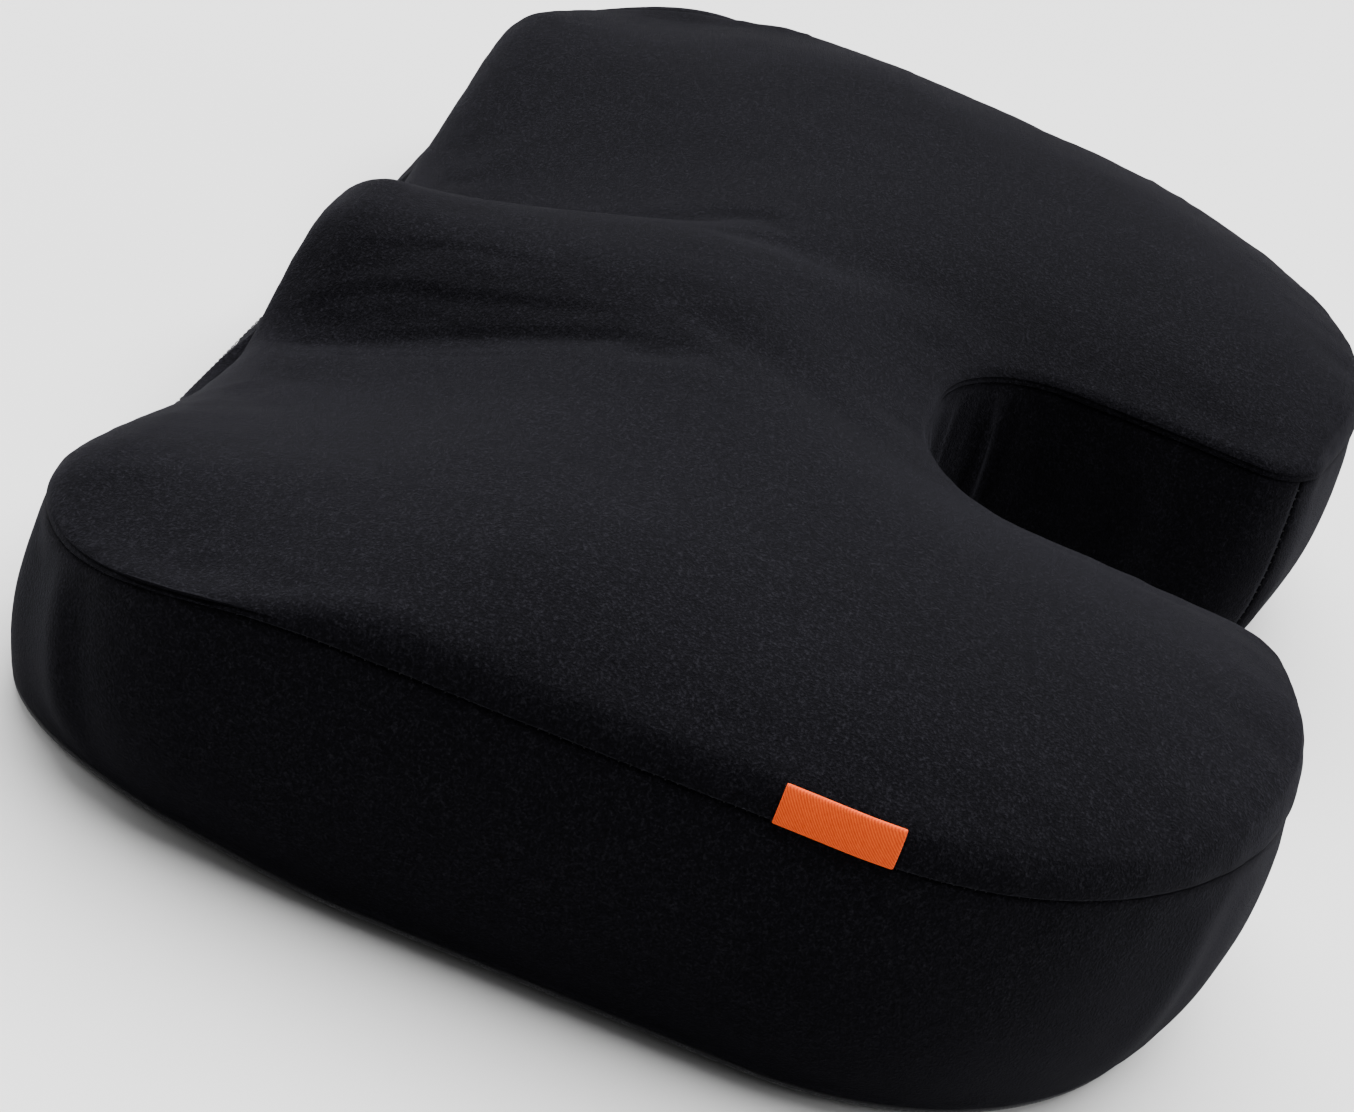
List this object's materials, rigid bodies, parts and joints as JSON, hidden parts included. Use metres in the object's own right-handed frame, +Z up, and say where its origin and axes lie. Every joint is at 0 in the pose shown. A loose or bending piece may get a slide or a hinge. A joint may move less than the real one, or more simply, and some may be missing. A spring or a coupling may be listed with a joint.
{
  "type": "contoured seat cushion",
  "caption": "Contoured foam seat cushion with thigh troughs, a centre ridge, a U-shaped tailbone cut-out at the back and a zipped fabric cover.",
  "frame": {"origin": "bottom centre of the whole cushion, on the surface that it rests on", "axes": "+Z up, +X to the side that carries the woven label, -Y to the front edge under the thighs, +Y to the back with the tailbone cut-out"},
  "size_m": [0.4492, 0.3152, 0.0951],
  "materials": {
    "cover_velour": "short-pile black velour",
    "grip_fabric": "black plain weave with raised rubber grip dots",
    "memory_foam": "moulded open-cell memory foam",
    "liner_knit": "thin white knit",
    "sewing_thread": "black polyester thread",
    "zip_tape": "black herringbone tape",
    "zip_coil": "black polyester coil",
    "zip_metal": "black enamelled zinc",
    "label_weave": "orange woven satin ribbon"
  },
  "bodies": {
    "cushion": {"foam_core": "memory_foam", "inner_liner": "liner_knit", "top_panel": "cover_velour", "bottom_panel": "grip_fabric", "side_band_right": "cover_velour", "side_band_left": "cover_velour", "cutout_band": "cover_velour", "front_band_upper": "cover_velour", "front_band_lower": "cover_velour", "top_seam_thread": "sewing_thread", "bottom_seam_thread": "sewing_thread", "panel_seam_threads": "sewing_thread", "zip_seam_threads": "sewing_thread", "zip_tape_upper": "zip_tape", "zip_tape_lower": "zip_tape", "zip_coil_upper": "zip_coil", "zip_coil_lower": "zip_coil", "zip_top_stops": "zip_metal", "zip_bottom_stop": "zip_metal"},
    "slider": {"zip_slider": "zip_metal"},
    "pull_tab": {"zip_pull_tab": "zip_metal"},
    "label": {"woven_label": "label_weave"}
  },
  "joints": [
    {"name": "zip_slide", "type": "slide", "parent": "cushion", "child": "slider", "axis": [1, 0, 0], "range_m": [-0.297, 0]},
    {"name": "pull_tab_hinge", "type": "hinge", "parent": "slider", "child": "pull_tab", "pos_m": [0.14975, -0.15594, 0.02], "axis": [0, 0, 1], "range_deg": [0, 175]},
    {"name": "label_flap", "type": "hinge", "parent": "cushion", "child": "label", "pos_m": [0.21781, 0.05296, 0.077], "axis": [-0.0504, 0.9987, 0], "range_deg": [0, 110]}
  ]
}
